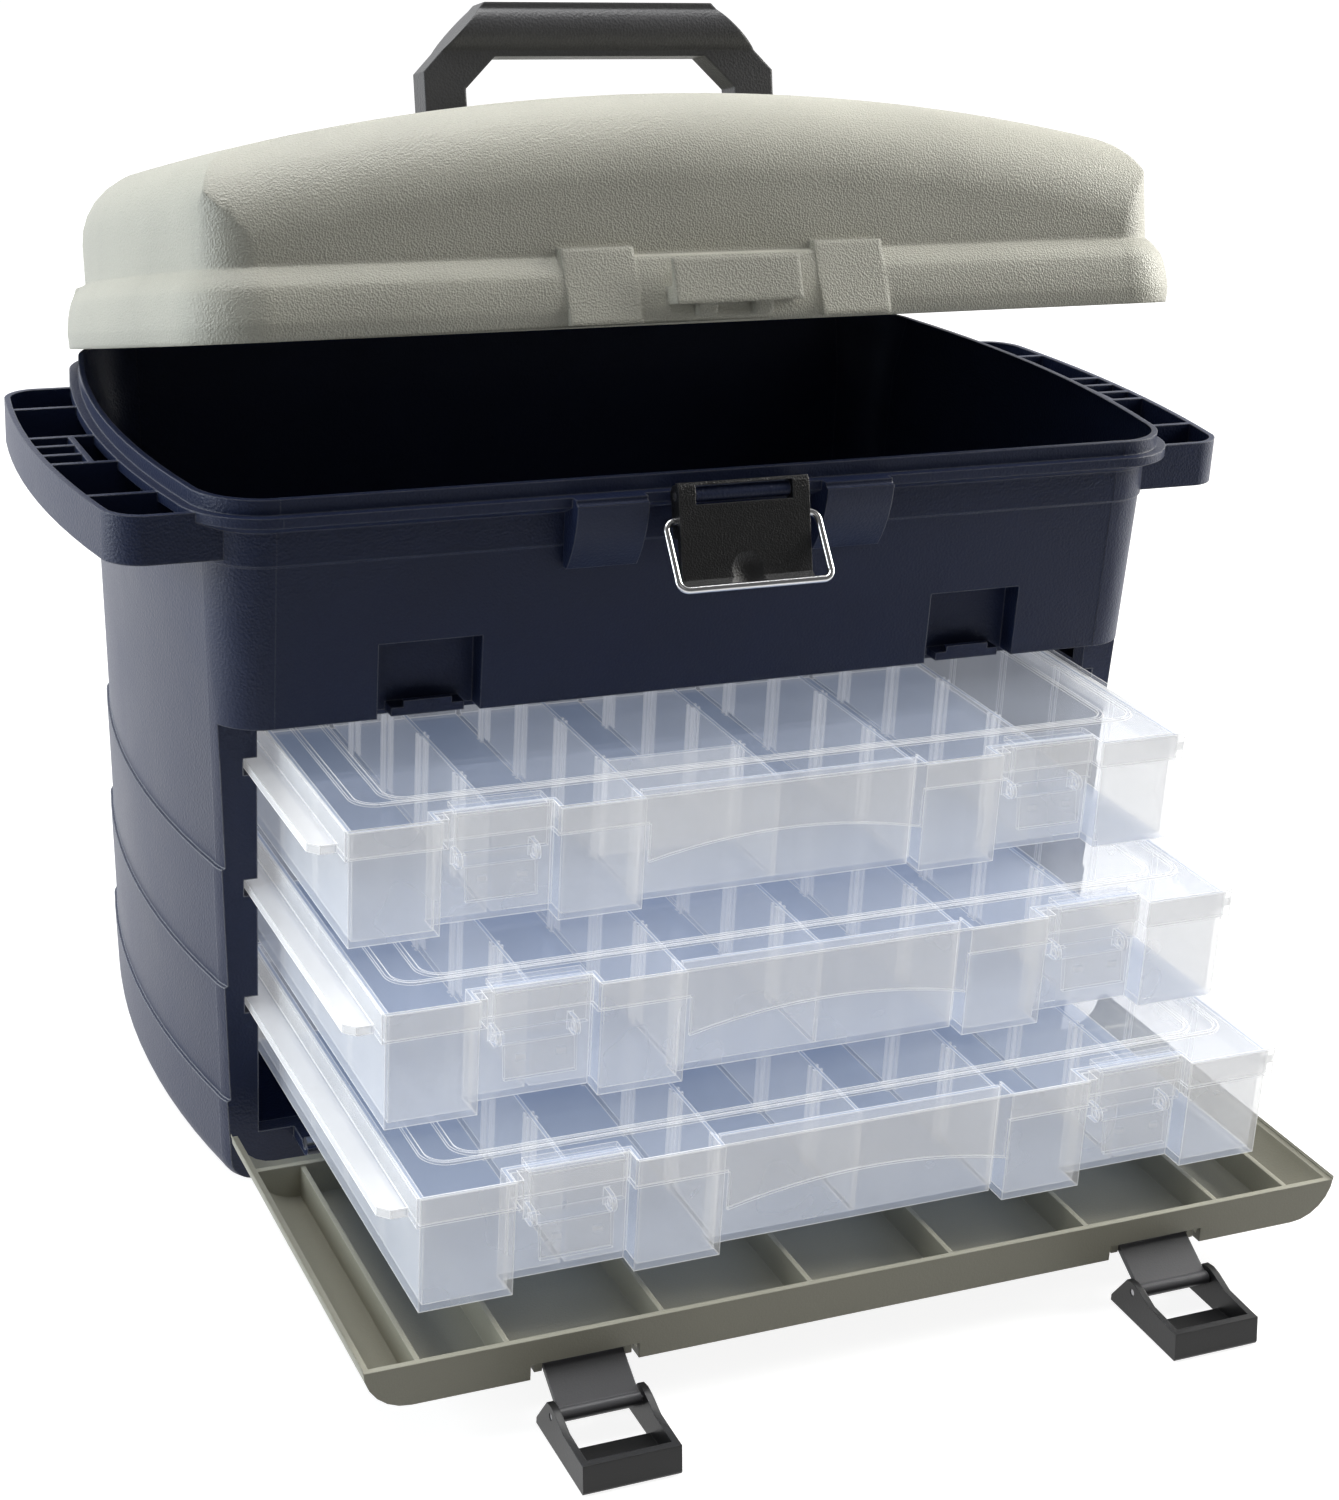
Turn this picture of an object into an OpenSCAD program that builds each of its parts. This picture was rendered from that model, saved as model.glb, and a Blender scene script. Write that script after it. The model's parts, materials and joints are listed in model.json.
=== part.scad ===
// Tackle box: a lidded bin over a front bay with sliding clear trays and a drop-down door.
// Millimetres, +Z up, front towards -Y. The origin is the middle of the underside.
// The trays, the door and the lid are drawn part open.

/* [Body] */
// Greatest width over the upright rim
body_w = 440; // [420:1:460]
// Depth of the rim from front to back
body_d = 258; // [250:1:280]
// Height of the bin above the tray bay
bin_h = 93.5; // [80:0.5:120]
// Moulded wall thickness
wall = 3; // [2.4:0.1:3.6]
// Plan radius of the bowed sides
side_r = 520; // [460:5:700]
// How far in front of the middle the sides are widest
bow_forward = 12; // [0:1:24]
// Plan radius of the front corners
front_r = 28; // [26:1:32]
// Plan radius of the rear corners
rear_r = 30; // [26:1:34]
// Rounding under the lower edge
foot_r = 10; // [6:1:12]
// How far the foot of the walls stands in from the rim
lower_in = 11; // [10:0.5:12]
// Outward lean of the walls, per unit of height
draft = 0.035; // [0.02:0.001:0.04]
// Depth of the step lines round the walls
step_d = 1.2; // [0.6:0.1:1.6]
// Projection of the ledge that the lid closes on
ledge_out = 4; // [3:0.2:5]
// Height of the upright rim above the ledge
rim_h = 6; // [4:0.5:9]
// Thickness of the upright rim
rim_t = 2.6; // [2:0.1:3.4]

/* [Tray bay] */
// Height of the front sill
sill_z = 22; // [18:1:26]
// Clear height from the sill to the lowest tray
sill_gap = 19.5; // [17:0.5:26]
// How far the bay mouth stands back from the bin front
bay_setback = 19; // [17:0.5:22]
// Thickness of the door jambs
jamb_t = 8; // [5:0.5:10]
// Thickness of the ledges that carry the trays
runner_t = 2.5; // [2:0.1:3]
// How much of each rail the ledges hold
runner_grip = 3.5; // [2.5:0.1:4.5]
// Free height above the top tray
bay_headroom = 6.5; // [5:0.5:12]

/* [Carry ears] */
// Projection of the side carry ears
ear_out = 32; // [26:1:36]
// Height of the ears
ear_h = 19; // [14:1:22]
// Rounding of the ear corners
ear_r = 16; // [10:1:20]
// Thickness of the ear walls and ribs
ear_t = 2.4; // [1.8:0.1:3]

/* [Lid] */
// Height of the crown above the lid's lower edge
lid_h = 90.5; // [84:0.5:100]
// Lid wall thickness
lid_t = 2.7; // [2.2:0.1:3.2]
// Height of the bulged lower band
band_h = 26; // [22:0.5:30]
// How far the rounded lower band leans in at its top
band_lean = 4.5; // [3:0.1:6]
// How far the upper lid wall stands in from the rim
upper_in = 6; // [5:0.5:9]
// Radius of the crowned roof
roof_r = 912; // [800:4:1100]
// Rounding of the front and rear roof edges
roof_edge_r = 36; // [24:1:42]
// Rounding of the roof at the sides
shoulder_r = 28; // [20:1:34]
// Opening of the lid as drawn, in degrees
lid_open = 13.4; // [6:0.1:40]

/* [Handle] */
// Width over the handle legs
handle_w = 159; // [140:1:176]
// Width of each handle leg
leg_w = 18; // [14:0.5:22]
// Height of the grip top above the pivots
handle_h = 60; // [54:1:66]
// Thickness of the grip
grip_d = 22; // [18:0.5:24]
// Rise of the slanted handle shoulders
handle_bevel = 28; // [22:1:30]

/* [Front latch] */
// Width of the latch lever
lever_w = 56.4; // [50:0.2:62]
// Length of the lever below its hinge
lever_l = 36; // [32:0.5:40]
// Lean of the lever away from the wall, in degrees
lever_lean = 14; // [8:0.5:20]
// Length of the wire bail
bail_l = 28.7; // [27.8:0.1:29.4]
// Radius of the bail wire
wire_r = 1.5; // [1.2:0.1:1.6]
// Angle of the bail from straight down, in degrees
bail_lean = 39; // [34:0.5:60]

/* [Trays] */
// Height of each closed tray
tray_h = 48; // [46:0.5:48.5]
// Height from one tray to the next
tray_pitch = 51.5; // [51.2:0.1:56]
// Wall thickness of the clear trays
tray_t = 1.8; // [1.4:0.1:2.2]
// Depth of the lid skirts
skirt_h = 12; // [10.5:0.5:14]
// Projection of the sliding rails
rail_out = 10.5; // [9:0.5:12]
// Thickness of the sliding rails
rail_t = 3.5; // [2.5:0.1:4]
// How far the top tray is drawn out
top_out = 95; // [60:1:110]
// How far the middle tray is drawn out
middle_out = 140; // [100:1:150]
// How far the bottom tray is drawn out
bottom_out = 181; // [140:1:185]
// Compartments across each tray
columns = 6; // [6:1:6]

/* [Door] */
// Depth of the door's rim
door_t = 16.5; // [14:0.5:17]
// Thickness of the door skin
door_skin = 2.5; // [2:0.1:3]
// Distance of the clasps from the middle
clasp_x = 121; // [112:1:128]
// Width of the clasp links
link_w = 31; // [26:0.5:34]
// Length of the links between their pins
link_l = 23; // [21:0.5:25]
// Droop of the links, in degrees
link_droop = 30; // [26:1:31]

/* [Fits] */
// Radial running clearance of the hinge pins
pin_gap = 0.06; // [0.03:0.01:0.1]
// Clearance between parts that slide or seat
fit = 0.3; // [0.25:0.05:0.5]

/* [Hidden] */
$fn = 64;

far = 400;

// Levels
tray_z0 = sill_z + sill_gap;
bay_z = tray_z0 + 3 * tray_pitch + bay_headroom;
rim_z = bay_z + bin_h;
ledge_z = rim_z - rim_h;
ledge_t = 4;
step_levels = [tray_z0 - 3.5, tray_z0 + tray_pitch - 3.5, tray_z0 + 2 * tray_pitch - 3.5];

// Bowed plan
rim_hw = body_w / 2;
front_y = -body_d / 2;
rear_y = body_d / 2;
side_c = [rim_hw - side_r, -bow_forward];
function heading(a) = [cos(a), sin(a)];
function corner_c(y, r, out) =
    [side_c.x + sqrt(pow(side_r + out - r, 2) - pow(y - side_c.y, 2)), y];
function corner_a(c) = atan2(c.y - side_c.y, c.x - side_c.x);
function half_at(y, out) = side_c.x + sqrt(pow(side_r + out, 2) - pow(y - side_c.y, 2));
front_c = corner_c(front_y + front_r, front_r, 0);
rear_c = corner_c(rear_y - rear_r, rear_r, 0);
front_a = corner_a(front_c);
rear_a = corner_a(rear_c);
ring_t = 24;
corner_proud = 0.1;
corner_lap = 2;
spare = 0.2;
core_in = ring_t - 4;
core_half = concat(
    [[front_c.x, front_c.y - front_r + core_in]],
    [for (i = [0:4]) side_c + (side_r - core_in) * heading(front_a + (rear_a - front_a) * i / 4)],
    [[rear_c.x, rear_c.y + rear_r - core_in]]);
core_outline = concat(core_half, [for (i = [len(core_half) - 1:-1:0]) [-core_half[i].x, core_half[i].y]]);

// Wall outlines, as distance out from the rim against height
function arc_pts(c, r, a0, a1, n) = [for (i = [0:n]) c + r * heading(a0 + (a1 - a0) * i / n)];
function run_on(p, q) = p + spare * (p - q) / abs(p.y - q.y);
function wall_u(z, steps) = -lower_in + draft * z - step_d * steps;
parting_z = ledge_z - 22;
body_line = concat(
    arc_pts([-lower_in - foot_r, foot_r], foot_r, -90, 0, 6),
    [for (i = [0:2]) each [[wall_u(step_levels[i], i), step_levels[i]],
        [wall_u(step_levels[i], i + 1), step_levels[i] + 0.6]]],
    [[wall_u(parting_z, 3), parting_z], [wall_u(parting_z, 3) + 0.8, parting_z + 0.8],
        [wall_u(ledge_z, 3), ledge_z - ledge_t - 4], [ledge_out, ledge_z - ledge_t],
        [ledge_out, ledge_z]]);
rim_line = [[0, ledge_z - ledge_t + 1], [0, rim_z]];
bin_line = [[wall_u(bay_z, 3) - wall, bay_z + wall], [wall_u(parting_z, 3) - wall, parting_z],
    [-rim_t - 1, ledge_z - 1], [-rim_t, ledge_z + 2], [-rim_t, rim_z + 1]];
bay_u = -lower_in - wall - 0.2;
bay_line = [[bay_u, 2 * wall], [bay_u + 1.5, bay_z]];

// Bay and trays
jamb_y = front_y + bay_setback;
tray_in_y = jamb_y + 4;
tray_rear_y = rear_y + bay_u - 1;
tray_d = tray_rear_y - tray_in_y;
rail_short = 8;
rail_hw = half_at(tray_rear_y - rail_short, bay_u) - 1.5;
tray_hw = rail_hw - rail_out;
base_hw = tray_hw - tray_t - fit;
jamb_x = rail_hw - runner_grip;
slot_h = 2 * rail_t;
column_w = 2 * base_hw / columns;
tray_latch_x = column_w * 2;
latch_w = 37;
notch_w = latch_w + 6;
notch_d = 7;
latch_bay_d = 12;
apron_hw = column_w;
apron_drop = 28;
apron_rise = 7;
front_recess = 10;
trunnion_r = 1.5;
trunnion_y = notch_d;
trunnion_z = -20;
lug_t = 2;
lug_hw = 16.5;
hook_t = 2;

// Door and clasps
door_axis = [front_y + 4, sill_z];
door_hw = front_c.x + front_r + wall_u(bay_z, 3);
door_l = bay_z - sill_z - 1;
door_z0 = -4;
door_back = 7;
door_cross = 34;
door_round = 18;
door_pin_r = 2.5;
door_hinge_x = 150;
knuckle_w = 27;
hinge_gap = 0.5;
link_axis = [-door_l + 5.5, 1];
link_pin_r = 1.3;
link_lug_t = 3;
link_plate = 2.4;
clasp_w = link_w + 6.4;
clasp_cheek = 2.6;
clasp_front = 30.5;
clasp_rear = 13;
clasp_bar_h = 11;
link_root = door_axis + link_axis;
clasp_axis = link_root + link_l * [-cos(link_droop), -sin(link_droop)];
clasp_floor = -clasp_axis.y;

// Lid and handle
lid_z0 = ledge_z + fit + 0.2;
lid_gap = 0.8;
crown_z = lid_z0 + lid_h;
lid_axis = [rear_y + ledge_out + 7, ledge_z - 10];
lid_pin_r = 3;
lid_hinge_x = 110;
lid_knuckle_r = 6;
lid_knuckle_w = 15;
lug_w = 8;
well_hw = handle_w / 2 + 6.5;
well_front = -22;
well_rear = handle_h + 6;
well_z = crown_z - 30;
handle_axis = [-5, well_z + 14];
handle_pin_r = 3;
handle_depth = 14;

// Front latch
lever_axis = [front_y - ledge_out - 5.5, ledge_z - 0.5];
lever_t = 3;
lever_lug_hw = 20.5;
lever_pin_r = 1.6;
lever_ear_r = 4.2;
bail_drop = 9.8;
bail_hw = lever_w / 2 + 4.8;
bail_bend = 4;
pad_x0 = 38.6;
pad_x1 = 68.5;
keeper_hw = 27;
function turned(p, a) = [p.x * cos(a) - p.y * sin(a), p.x * sin(a) + p.y * cos(a)];
bail_axis = lever_axis + turned([0, -bail_drop], -lever_lean);

// Drawing aids
module both_sides() {
    children();
    mirror([1, 0, 0]) children();
}

// Turns the children about an axis along X through a point given as [y, z]
module turn_about(p, a) {
    translate([0, p.x, p.y]) rotate([a, 0, 0]) translate([0, -p.x, -p.y]) children();
}

// A round bar along X, centred on an axis given as [y, z]
module bar_x(p, r, x0, x1) {
    translate([x0, p.x, p.y]) rotate([0, 90, 0]) cylinder(h = x1 - x0, r = r);
}

// A prism along X of an outline in Y and Z
module prism_x(outline, x0, x1) {
    translate([x0, 0, 0]) rotate([90, 0, 90]) linear_extrude(x1 - x0) polygon(outline);
}

module box(lo, hi) {
    translate(lo) cube(hi - lo);
}

module rounded_rect(lo, hi, r) {
    translate([lo.x + r, lo.y]) square([hi.x - lo.x - 2 * r, hi.y - lo.y]);
    translate([lo.x, lo.y + r]) square([hi.x - lo.x, hi.y - lo.y - 2 * r]);
    for (x = [lo.x + r, hi.x - r], y = [lo.y + r, hi.y - r])
        translate([x, y]) circle(r);
}

// Carries a wall outline round the bowed plan, with the corners lapped a little over their neighbours
module plan_ring() {
    both_sides() {
        translate(front_c) rotate(-90 - corner_lap) rotate_extrude(angle = 90 + front_a + 2 * corner_lap)
            translate([front_r + corner_proud, 0]) children();
        translate(side_c) rotate(front_a) rotate_extrude(angle = rear_a - front_a)
            translate([side_r, 0]) children();
        translate(rear_c) rotate(rear_a - corner_lap) rotate_extrude(angle = 90 - rear_a + 2 * corner_lap)
            translate([rear_r + corner_proud, 0]) children();
    }
    translate([front_c.x, front_y, 0]) rotate([90, 0, -90]) linear_extrude(2 * front_c.x) children();
    translate([-rear_c.x, rear_y, 0]) rotate([90, 0, 90]) linear_extrude(2 * rear_c.x) children();
}

// A solid with the bowed plan, bounded by a wall outline and trimmed level at its ends
module plan_block(line) {
    n = len(line) - 1;
    start = run_on(line[0], line[1]);
    end = run_on(line[n], line[n - 1]);
    intersection() {
        union() {
            plan_ring() polygon(concat([start], [for (i = [1:1:n - 1]) line[i]],
                [end, [-ring_t, end.y], [-ring_t, start.y]]));
            translate([0, 0, start.y - 1]) linear_extrude(end.y - start.y + 2) polygon(core_outline);
        }
        box([-far, -far, line[0].y], [far, far, line[n].y]);
    }
}

// The plan of all that stands outside a rounded upright corner
module corner_cut(c, r, a0, a1) {
    reach = 80;
    difference() {
        polygon([c, c + reach * heading(a0), c + 2 * reach * heading((a0 + a1) / 2), c + reach * heading(a1)]);
        translate(c) circle(r);
    }
}

// Body
module ear_block(inset, z0, z1) {
    c0 = corner_c(ear_y0 + ear_r, ear_r, ear_out);
    c1 = corner_c(ear_y1 - ear_r, ear_r, ear_out);
    r = ear_r - inset + corner_proud;
    difference() {
        intersection() {
            translate([side_c.x, side_c.y, z0]) rotate(-30) rotate_extrude(angle = 60)
                translate([side_r - ring_t, 0]) square([ear_out + ring_t - inset, z1 - z0]);
            box([0, ear_y0 + inset, z0 - 1], [far, ear_y1 - inset, z1 + 1]);
        }
        translate([0, 0, z0 - 1]) linear_extrude(z1 - z0 + 2) {
            corner_cut(c0, r, -90, corner_a(c0));
            corner_cut(c1, r, corner_a(c1), 90);
        }
    }
}

ear_y0 = front_y + 12;
ear_y1 = rear_y - 52;
ear_ribs = [ear_y0 + 31, ear_y0 + 76, ear_y0 + 115, ear_y1 - 33];
ear_z = ledge_z - 0.5;

module ear() {
    z0 = ear_z - ear_h;
    difference() {
        ear_block(0, z0, ear_z);
        difference() {
            ear_block(ear_t, z0 + ear_t, ear_z + 1);
            for (y = ear_ribs)
                box([rim_hw - 20, y - ear_t / 2, z0], [rim_hw + ear_out, y + ear_t / 2, rim_z]);
            ear_grid(z0);
        }
    }
}

// The small ribs in the middle cell of an ear
module ear_grid(z0) {
    mid = rim_hw + ear_out / 2;
    y0 = ear_ribs[1];
    y1 = ear_ribs[2];
    third = (y1 - y0) / 3;
    box([mid - 4, y0, z0], [mid - 4 + ear_t, y1, rim_z]);
    for (y = [y0 + third, y1 - third])
        box([mid - 4, y - ear_t / 2, z0], [rim_hw + ear_out, y + ear_t / 2, rim_z]);
}

// Channels that carry the tray rails
module runners() {
    for (i = [0:2]) {
        z = tray_z0 + i * tray_pitch + tray_h - skirt_h;
        both_sides() {
            box([jamb_x, jamb_y, z - fit - runner_t], [far, far, z - fit]);
            box([jamb_x, jamb_y, z - fit + slot_h], [far, far, z - fit + slot_h + runner_t]);
        }
    }
}

module jamb_slots() {
    for (i = [0:2]) {
        z = tray_z0 + i * tray_pitch + tray_h - skirt_h - fit;
        both_sides()
            box([jamb_x - 1, jamb_y - 1, z], [rail_hw + 2, jamb_y + jamb_t + 1, z + slot_h]);
    }
}

// Recesses in the bin front that the door clasps hook into
pocket_hw = clasp_w / 2 + 2.5;
pocket_h = 31;
pocket_d = 13;

module pocket_block() {
    box([clasp_x - pocket_hw - wall, front_y - 1, bay_z], [clasp_x + pocket_hw + wall, front_y + pocket_d + 7,
        bay_z + pocket_h + wall]);
}

module pocket_cut() {
    difference() {
        box([clasp_x - pocket_hw, front_y - 10, bay_z - 1],
            [clasp_x + pocket_hw, front_y + pocket_d + 4, bay_z + pocket_h]);
        box([clasp_x - 15, front_y + 9, bay_z], [clasp_x + 15, front_y + 30, bay_z + 3.5]);
        box([clasp_x - 10, front_y + 9, bay_z + 3], [clasp_x + 10, front_y + 11.5, bay_z + 6]);
    }
}

// Curved fairings on each side of the front latch
module wing() {
    top = ledge_z;
    drop = 30;
    reach = 10;
    intersection() {
        bar_x([front_y - reach + 50, top], 50, pad_x0, pad_x1);
        box([pad_x0, front_y - reach - 1, top - drop], [pad_x1, front_y + 4, top]);
    }
}

module lid_lug() {
    prism_x([[rear_y - 6, lid_axis.y - 16], [lid_axis.x - 3, lid_axis.y - 6], [lid_axis.x, lid_axis.y],
        [lid_axis.x, lid_axis.y + 4], [rear_y - 6, lid_axis.y + 4]], 0, lug_w);
    bar_x(lid_axis, lid_knuckle_r, 0, lug_w);
}

lid_lug_x = lid_hinge_x - lid_knuckle_w / 2 - hinge_gap - lug_w;
lid_lug_step = lid_knuckle_w + 2 * hinge_gap + lug_w;

module door_lug() {
    box([0, door_axis.x, sill_z - 5], [lug_w, jamb_y + 1, sill_z]);
    bar_x(door_axis, 5.2, 0, lug_w);
}

door_lug_x = door_hinge_x - knuckle_w / 2 - hinge_gap - lug_w;
door_lug_step = knuckle_w + 2 * hinge_gap + lug_w;

module lever_lug() {
    box([-lever_lug_hw, lever_axis.x, lever_axis.y - 3.2], [lever_lug_hw, front_y + 1, lever_axis.y]);
    bar_x(lever_axis, 3.2, -lever_lug_hw, lever_lug_hw);
}

module body() {
    color([0.08, 0.11, 0.2]) difference() {
        union() {
            both_sides() {
                ear();
                wing();
                for (i = [0:1]) {
                    translate([lid_lug_x + i * lid_lug_step, 0, 0]) lid_lug();
                    translate([door_lug_x + i * door_lug_step, 0, 0]) door_lug();
                }
            }
            lever_lug();
            difference() {
                union() {
                    plan_block(body_line);
                    plan_block(rim_line);
                }
                box([-far, -far, -1], [far, jamb_y, bay_z]);
            }
        }
        difference() {
            plan_block(bin_line);
            both_sides() pocket_block();
        }
        both_sides() pocket_cut();
        difference() {
            intersection() {
                plan_block(bay_line);
                box([-far, jamb_y + jamb_t, 0], [far, far, far]);
            }
            runners();
        }
        box([-jamb_x, -far, sill_z], [jamb_x, jamb_y + jamb_t + 1, bay_z - runner_t]);
        jamb_slots();
        both_sides() {
            bar_x(lid_axis, lid_pin_r + pin_gap, lid_lug_x - 1, lid_lug_x + lid_lug_step + lug_w + 1);
            bar_x(door_axis, door_pin_r + pin_gap, door_lug_x - 1, door_lug_x + door_lug_step + lug_w + 1);
        }
        bar_x(lever_axis, lever_pin_r + pin_gap, -far, far);
    }
}

// Lid
function band_line(inset) = let (u = lid_gap + lid_t - inset, z = lid_z0)
    concat([[u, z - min(inset, 1)]],
        [for (i = [1:4]) [u - band_lean * pow(i / 4, 2), z + (band_h - inset) * i / 4]],
        [[-upper_in - inset - 1, z + band_h - inset + 1.5]]);

// The crowned roof and the walls below its front and rear edges, turned about an axis that runs front to back
module roof(inset) {
    r = roof_r - inset;
    e = roof_edge_r - inset;
    spread = asin(rim_hw / (roof_r - lid_h)) + 1;
    y0 = front_y + upper_in + inset;
    y1 = rear_y - upper_in - inset;
    low = roof_r - lid_h - 60;
    translate([0, 0, crown_z - roof_r]) rotate([90, 0, 0]) rotate(90 - spread)
        rotate_extrude(angle = 2 * spread, $fn = 360) {
            translate([low, -y1]) square([r - e - low, y1 - y0]);
            translate([low, e - y1]) square([r - low, y1 - y0 - 2 * e]);
            for (y = [e - y1, -y0 - e])
                translate([r - e, y]) circle(e);
        }
}

// All that stands outside one bowed side wall and its rounded shoulder
module shoulder_cut(inset) {
    r = side_r - upper_in - inset;
    e = shoulder_r - inset;
    edge_x = rim_hw - upper_in - shoulder_r;
    slope = asin(edge_x / roof_r);
    top = crown_z - roof_r + sqrt(pow(roof_r, 2) - pow(edge_x, 2)) + 0.3 - shoulder_r;
    tip = [r - e, top] + e * heading(90 - slope);
    run = 60;
    outer = side_r + 100;
    translate([side_c.x, side_c.y, 0]) rotate(-30) rotate_extrude(angle = 60, $fn = 180)
        polygon(concat([[outer, lid_z0 - 60], [r, lid_z0 - 60]], arc_pts([r - e, top], e, 0, 90 - slope, 6),
            [tip + run * [-1, tan(slope)], [tip.x - run, crown_z + 40], [outer, crown_z + 40]]));
}

module lid_cap(inset) {
    grow = corner_proud - upper_in - inset;
    difference() {
        roof(inset);
        translate([0, 0, lid_z0 - 60]) linear_extrude(lid_h + 80) both_sides() {
            corner_cut(front_c, front_r + grow, -90, front_a);
            corner_cut(rear_c, rear_r + grow, rear_a, 90);
        }
        both_sides() shoulder_cut(inset);
        box([-far, -far, -far], [far, far, lid_z0 + band_h - inset - 6]);
    }
}

module lid_form(inset) {
    plan_block(band_line(inset));
    lid_cap(inset);
}

// Pads and hooked keeper of the front latch
module lid_pad() {
    y0 = front_y - lid_gap - lid_t;
    prism_x([[y0 - 2.5, lid_z0 + 1], [y0 + 5, lid_z0 + band_h + 4], [y0 + 10, lid_z0 + band_h + 4],
        [y0 + 10, lid_z0 + band_h - 2], [y0 + 1, lid_z0 + 1]], pad_x0, pad_x1);
}

module keeper() {
    y0 = front_y - lid_gap - lid_t;
    prism_x([[y0 - 8.6, lid_z0 + 7.5], [y0 + 1, lid_z0 + 7.5], [y0 + 1, lid_z0 + 14.5],
        [y0 - 4.2, lid_z0 + 14.5], [y0 - 3.6, lid_z0 + 25], [y0 - 5.4, lid_z0 + 25]], -keeper_hw, keeper_hw);
    for (x = [-16, 8])
        box([x, y0 - 4, lid_z0 + 3], [x + 8, y0 + 1, lid_z0 + 9]);
}

module lid_knuckle() {
    y0 = rear_y + lid_gap + lid_t;
    prism_x([[lid_axis.x - 5, lid_axis.y], [lid_axis.x + 6, lid_axis.y], [lid_axis.x + 6, lid_axis.y + 8],
        [y0 - 0.5, lid_z0 + 22], [y0 - 0.5, lid_z0 + 2], [lid_axis.x - 5, lid_z0 + 1]],
        -lid_knuckle_w / 2, lid_knuckle_w / 2);
    bar_x(lid_axis, lid_knuckle_r, -lid_knuckle_w / 2, lid_knuckle_w / 2);
}

module well_shape(grow, z0) {
    translate([0, 0, z0]) linear_extrude(crown_z - z0 + 5)
        rounded_rect([-well_hw - grow, well_front - grow], [well_hw + grow, well_rear + grow], 8 + grow);
}

module lid() {
    color([0.6, 0.56, 0.47]) turn_about(lid_axis, -lid_open) difference() {
        union() {
            difference() {
                lid_form(0);
                difference() {
                    lid_form(lid_t);
                    well_shape(lid_t, well_z - lid_t);
                }
            }
            both_sides() {
                lid_pad();
                translate([lid_hinge_x, 0, 0]) lid_knuckle();
            }
            keeper();
        }
        difference() {
            well_shape(0, well_z);
            both_sides()
                bar_x(handle_axis, 8, handle_w / 2 + 0.7, well_hw + 1);
        }
        both_sides() {
            bar_x(handle_axis, handle_pin_r + pin_gap, handle_w / 2 - 1, well_hw + 2);
            bar_x(lid_axis, lid_pin_r + pin_gap, lid_hinge_x - far / 4, lid_hinge_x + far / 4);
        }
    }
}

module lid_hinge_pins() {
    color([0.6, 0.6, 0.62]) both_sides()
        bar_x(lid_axis, lid_pin_r, lid_lug_x + 0.5, lid_lug_x + lid_lug_step + lug_w - 0.5);
}

// Handle
module handle() {
    hw = handle_w / 2;
    z0 = handle_axis.y;
    top = z0 + handle_h;
    grip_hw = hw - handle_bevel;
    in = hw - leg_w;
    outline = [[-hw, z0], [-hw, top - handle_bevel], [-grip_hw, top], [grip_hw, top], [hw, top - handle_bevel],
        [hw, z0], [in, z0], [in, top - handle_bevel - 7], [in - 13.5, top - grip_d], [13.5 - in, top - grip_d],
        [-in, top - handle_bevel - 7], [-in, z0]];
    color([0.05, 0.05, 0.055]) turn_about(lid_axis, -lid_open) difference() {
        union() {
            translate([0, handle_axis.x + handle_depth / 2, 0]) rotate([90, 0, 0])
                linear_extrude(handle_depth) polygon(outline);
            intersection() {
                bar_x([handle_axis.x, top - grip_d / 2], grip_d / 2, -hw, hw);
                translate([0, handle_axis.x + far / 2, 0]) rotate([90, 0, 0])
                    linear_extrude(far) polygon(outline);
            }
            both_sides()
                bar_x(handle_axis, handle_depth / 2, in, hw);
        }
        both_sides()
            bar_x(handle_axis, handle_pin_r + pin_gap, hw - leg_w + 4, hw + 1);
    }
}

module handle_pins() {
    color([0.6, 0.6, 0.62]) turn_about(lid_axis, -lid_open) both_sides()
        bar_x(handle_axis, handle_pin_r, handle_w / 2 - leg_w + 4.5, well_hw + 1.5);
}

// Front latch
module latch_lever() {
    hw = lever_w / 2;
    y0 = lever_axis.x - 4;
    top = lever_axis.y + 5;
    low = lever_axis.y - lever_l;
    color([0.06, 0.06, 0.065]) turn_about(lever_axis, -lever_lean) difference() {
        union() {
            prism_x([[y0, low + 3], [y0 - 3, low], [y0 - 3 + lever_t, low - 1], [y0 + lever_t, low + 4],
                [y0 + lever_t, top], [y0 + 1, top], [y0, top - 2]], -hw, hw);
            both_sides() {
                bar_x(lever_axis, lever_ear_r, lever_lug_hw + 0.5, hw);
                box([hw - 3, y0 + 1, lever_axis.y - bail_drop - 7],
                    [hw, lever_axis.x + 3.5, lever_axis.y - 1]);
            }
        }
        box([-lever_lug_hw - 0.5, y0 - 1, lever_axis.y - 3.8],
            [lever_lug_hw + 0.5, lever_axis.x + 8, lever_axis.y + 3.8]);
        translate([0, y0 - 11, low + 6]) sphere(r = 13);
        bar_x(lever_axis, lever_pin_r + pin_gap, -hw - 1, hw + 1);
        bar_x(lever_axis + [0, -bail_drop], wire_r + pin_gap, -hw - 1, hw + 1);
    }
}

module lever_pin() {
    color([0.6, 0.6, 0.62]) bar_x(lever_axis, lever_pin_r, -lever_w / 2 + 0.5, lever_w / 2 - 0.5);
}

module bail_corner(a) {
    rotate([90, 0, 0]) rotate(a) rotate_extrude(angle = 90) translate([bail_bend, 0]) circle(wire_r);
}

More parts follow.
